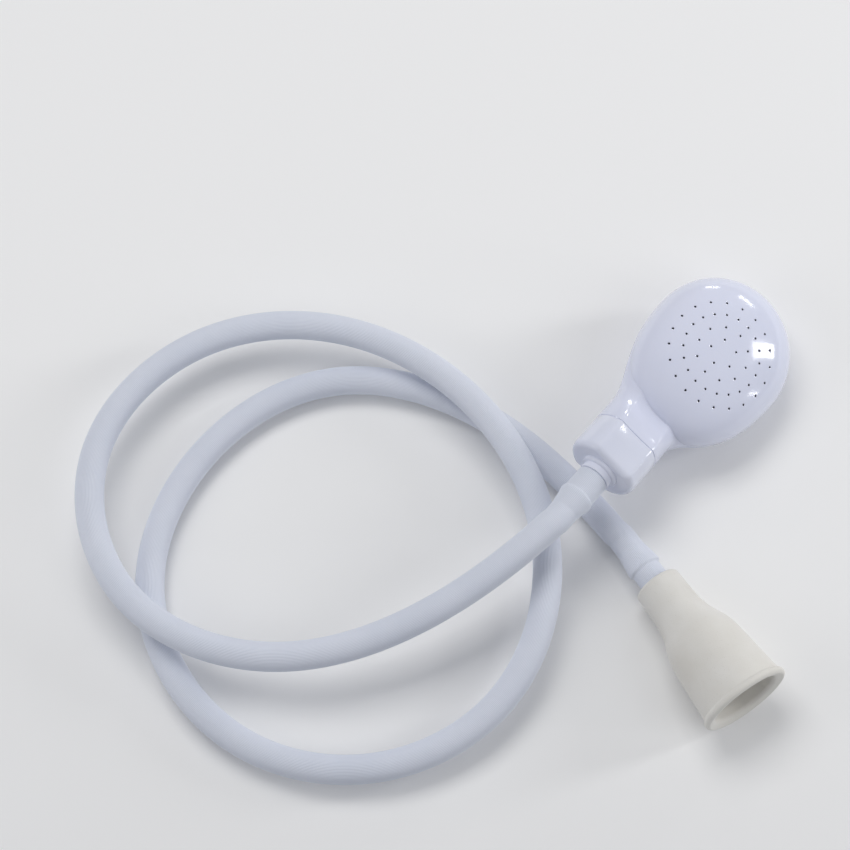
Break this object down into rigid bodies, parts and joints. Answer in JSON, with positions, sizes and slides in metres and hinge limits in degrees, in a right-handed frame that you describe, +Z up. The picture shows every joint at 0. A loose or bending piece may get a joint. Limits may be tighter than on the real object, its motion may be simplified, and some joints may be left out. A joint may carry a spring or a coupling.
{
  "type": "handheld bath sprayer",
  "caption": "Handheld pet bath sprayer: oval spray head with nozzle rings, coupling nut, coiled ribbed hose and push-on rubber faucet adapter.",
  "frame": {"origin": "centre of the footprint of the coiled sprayer, on the plane it lies on", "axes": "+Z up; +X along the long side of the coil, towards the spray head; +Y across the coil, towards the side of the head's tip"},
  "size_m": [0.347, 0.2446, 0.0547],
  "materials": {
    "hose_pvc": "satin white flexible PVC with fine lengthwise ribs",
    "head_plastic": "glossy cool white ABS",
    "nut_plastic": "glossy cool white ABS",
    "tail_plastic": "satin natural white plastic",
    "adapter_rubber": "matte warm ivory rubber",
    "seal_rubber": "matte black rubber"
  },
  "bodies": {
    "adapter": {"faucet_adapter": "adapter_rubber", "adapter_tail": "tail_plastic", "hose_end_adapter": "hose_pvc"},
    "link_01": {"hose_link_01": "hose_pvc"},
    "link_02": {"hose_link_02": "hose_pvc"},
    "link_03": {"hose_link_03": "hose_pvc"},
    "link_04": {"hose_link_04": "hose_pvc"},
    "link_05": {"hose_link_05": "hose_pvc"},
    "link_06": {"hose_link_06": "hose_pvc"},
    "link_07": {"hose_link_07": "hose_pvc"},
    "link_08": {"hose_link_08": "hose_pvc"},
    "link_09": {"hose_link_09": "hose_pvc"},
    "link_10": {"hose_link_10": "hose_pvc"},
    "link_11": {"hose_link_11": "hose_pvc"},
    "link_12": {"hose_link_12": "hose_pvc"},
    "link_13": {"hose_link_13": "hose_pvc"},
    "link_14": {"hose_link_14": "hose_pvc"},
    "link_15": {"hose_link_15": "hose_pvc"},
    "link_16": {"hose_link_16": "hose_pvc"},
    "link_17": {"hose_link_17": "hose_pvc"},
    "link_18": {"hose_link_18": "hose_pvc"},
    "link_19": {"hose_link_19": "hose_pvc"},
    "link_20": {"hose_link_20": "hose_pvc"},
    "link_21": {"hose_link_21": "hose_pvc"},
    "link_22": {"hose_link_22": "hose_pvc"},
    "link_23": {"hose_link_23": "hose_pvc"},
    "link_24": {"hose_link_24": "hose_pvc"},
    "link_25": {"hose_link_25": "hose_pvc"},
    "hose_tail": {"hose_end_head": "hose_pvc", "hose_tail_head": "tail_plastic"},
    "nut": {"coupling_nut": "nut_plastic"},
    "washer": {"sealing_washer": "seal_rubber"},
    "head": {"back_shell": "head_plastic", "face_shell": "head_plastic", "head_seal": "seal_rubber"}
  },
  "joints": [
    {"name": "hose_bend_01", "type": "hinge", "parent": "adapter", "child": "link_01", "pos_m": [0.08803, -0.0032, 0.00803], "axis": [0, 0, 1], "range_deg": [-8.5, 20], "stiffness_Nm_per_rad": 0.02},
    {"name": "hose_bend_02", "type": "hinge", "parent": "link_01", "child": "link_02", "pos_m": [0.05157, 0.03682, 0.00783], "axis": [0, 0, 1], "range_deg": [-13.5, 20], "stiffness_Nm_per_rad": 0.02},
    {"name": "hose_bend_03", "type": "hinge", "parent": "link_02", "child": "link_03", "pos_m": [0.00672, 0.06721, 0.00784], "axis": [0, 0, 1], "range_deg": [-19.5, 10.5], "stiffness_Nm_per_rad": 0.02},
    {"name": "hose_bend_04", "type": "hinge", "parent": "link_03", "child": "link_04", "pos_m": [-0.04661, 0.07785, 0.00788], "axis": [0, 0, 1], "range_deg": [-12.5, 2], "stiffness_Nm_per_rad": 0.02},
    {"name": "hose_bend_05", "type": "hinge", "parent": "link_04", "child": "link_05", "pos_m": [-0.09682, 0.05698, 0.00785], "axis": [0, 0, 1], "range_deg": [-9.5, 3], "stiffness_Nm_per_rad": 0.02},
    {"name": "hose_bend_06", "type": "hinge", "parent": "link_05", "child": "link_06", "pos_m": [-0.13059, 0.01436, 0.00782], "axis": [0, 0, 1], "range_deg": [-8.5, 3.5], "stiffness_Nm_per_rad": 0.02},
    {"name": "hose_bend_07", "type": "hinge", "parent": "link_06", "child": "link_07", "pos_m": [-0.13856, -0.03943, 0.00788], "axis": [0, 0, 1], "range_deg": [-7.5, 4.5], "stiffness_Nm_per_rad": 0.02},
    {"name": "hose_bend_08", "type": "hinge", "parent": "link_07", "child": "link_08", "pos_m": [-0.11373, -0.08795, 0.00825], "axis": [0, 0, 1], "range_deg": [-7.5, 11], "stiffness_Nm_per_rad": 0.02},
    {"name": "hose_bend_09", "type": "hinge", "parent": "link_08", "child": "link_09", "pos_m": [-0.06675, -0.11527, 0.00946], "axis": [0, 0, 1], "range_deg": [-12.5, 20], "stiffness_Nm_per_rad": 0.02},
    {"name": "hose_bend_10", "type": "hinge", "parent": "link_09", "child": "link_10", "pos_m": [-0.01243, -0.11366, 0.01176], "axis": [0, 0, 1], "range_deg": [-9.5, 20], "stiffness_Nm_per_rad": 0.02},
    {"name": "hose_bend_11", "type": "hinge", "parent": "link_10", "child": "link_11", "pos_m": [0.03312, -0.08402, 0.01514], "axis": [0, 0, 1], "range_deg": [-8.5, 20], "stiffness_Nm_per_rad": 0.02},
    {"name": "hose_bend_12", "type": "hinge", "parent": "link_11", "child": "link_12", "pos_m": [0.05331, -0.03362, 0.01904], "axis": [0, 0, 1], "range_deg": [-12.5, 20], "stiffness_Nm_per_rad": 0.02},
    {"name": "hose_bend_13", "type": "hinge", "parent": "link_12", "child": "link_13", "pos_m": [0.04558, 0.02006, 0.0217], "axis": [0, 0, 1], "range_deg": [-12.5, 2], "stiffness_Nm_per_rad": 0.02},
    {"name": "hose_bend_14", "type": "hinge", "parent": "link_13", "child": "link_14", "pos_m": [0.01484, 0.06478, 0.02273], "axis": [0, 0, 1], "range_deg": [-14.5, 2], "stiffness_Nm_per_rad": 0.02},
    {"name": "hose_bend_15", "type": "hinge", "parent": "link_14", "child": "link_15", "pos_m": [-0.03098, 0.09387, 0.02286], "axis": [0, 0, 1], "range_deg": [-2.5, 6], "stiffness_Nm_per_rad": 0.02},
    {"name": "hose_bend_16", "type": "hinge", "parent": "link_15", "child": "link_16", "pos_m": [-0.08489, 0.10051, 0.02274], "axis": [0, 0, 1], "range_deg": [-6.5, 4.5], "stiffness_Nm_per_rad": 0.02},
    {"name": "hose_bend_17", "type": "hinge", "parent": "link_16", "child": "link_17", "pos_m": [-0.13523, 0.08003, 0.02275], "axis": [0, 0, 1], "range_deg": [-6.5, 2], "stiffness_Nm_per_rad": 0.02},
    {"name": "hose_bend_18", "type": "hinge", "parent": "link_17", "child": "link_18", "pos_m": [-0.16653, 0.03534, 0.02288], "axis": [0, 0, 1], "range_deg": [-6.5, 10.5], "stiffness_Nm_per_rad": 0.02},
    {"name": "hose_bend_19", "type": "hinge", "parent": "link_18", "child": "link_19", "pos_m": [-0.16071, -0.01899, 0.023], "axis": [0, 0, 1], "range_deg": [-7.5, 20], "stiffness_Nm_per_rad": 0.02},
    {"name": "hose_bend_20", "type": "hinge", "parent": "link_19", "child": "link_20", "pos_m": [-0.12199, -0.05715, 0.0238], "axis": [0, 0, 1], "range_deg": [-8.5, 20], "stiffness_Nm_per_rad": 0.02},
    {"name": "hose_bend_21", "type": "hinge", "parent": "link_20", "child": "link_21", "pos_m": [-0.06885, -0.06679, 0.02712], "axis": [0, 0, 1], "range_deg": [-10.5, 20], "stiffness_Nm_per_rad": 0.02},
    {"name": "head_lift_1", "type": "hinge", "parent": "link_21", "child": "link_22", "pos_m": [-0.04132, -0.0626, 0.0303], "axis": [-0.3354, 0.9421, 0], "range_deg": [-25, 0], "stiffness_Nm_per_rad": 0.02},
    {"name": "hose_bend_23", "type": "hinge", "parent": "link_22", "child": "link_23", "pos_m": [-0.01515, -0.05329, 0.03395], "axis": [0, 0, 1], "range_deg": [-8.5, 17.5], "stiffness_Nm_per_rad": 0.02},
    {"name": "head_lift_2", "type": "hinge", "parent": "link_23", "child": "link_24", "pos_m": [0.00936, -0.04024, 0.0376], "axis": [-0.5678, 0.8232, 0], "range_deg": [-25, 0], "stiffness_Nm_per_rad": 0.02},
    {"name": "hose_bend_25", "type": "hinge", "parent": "link_24", "child": "link_25", "pos_m": [0.03226, -0.02445, 0.04083], "axis": [0, 0, 1], "range_deg": [-6.5, 20], "stiffness_Nm_per_rad": 0.02},
    {"name": "head_lift_3", "type": "hinge", "parent": "link_25", "child": "hose_tail", "pos_m": [0.05395, -0.00683, 0.04324], "axis": [-0.767, 0.6417, 0], "range_deg": [-25, 0], "stiffness_Nm_per_rad": 0.02},
    {"name": "head_swivel", "type": "hinge", "parent": "hose_tail", "child": "nut", "pos_m": [0.07681, 0.0205, 0.03815], "axis": [0.6352, 0.7593, -0.1414], "continuous": true},
    {"name": "head_travel", "type": "slide", "parent": "nut", "child": "washer", "axis": [0.6352, 0.7593, -0.1414], "range_m": [0, 0.0109]},
    {"name": "head_unscrew", "type": "hinge", "parent": "washer", "child": "head", "pos_m": [0.08063, 0.02506, 0.0373], "axis": [0.6352, 0.7593, -0.1414], "range_deg": [0, 2160]}
  ],
  "couplings": [
    {"joint": "head_travel", "follows": "head_unscrew", "m_per_rad": 0.00028871}
  ]
}
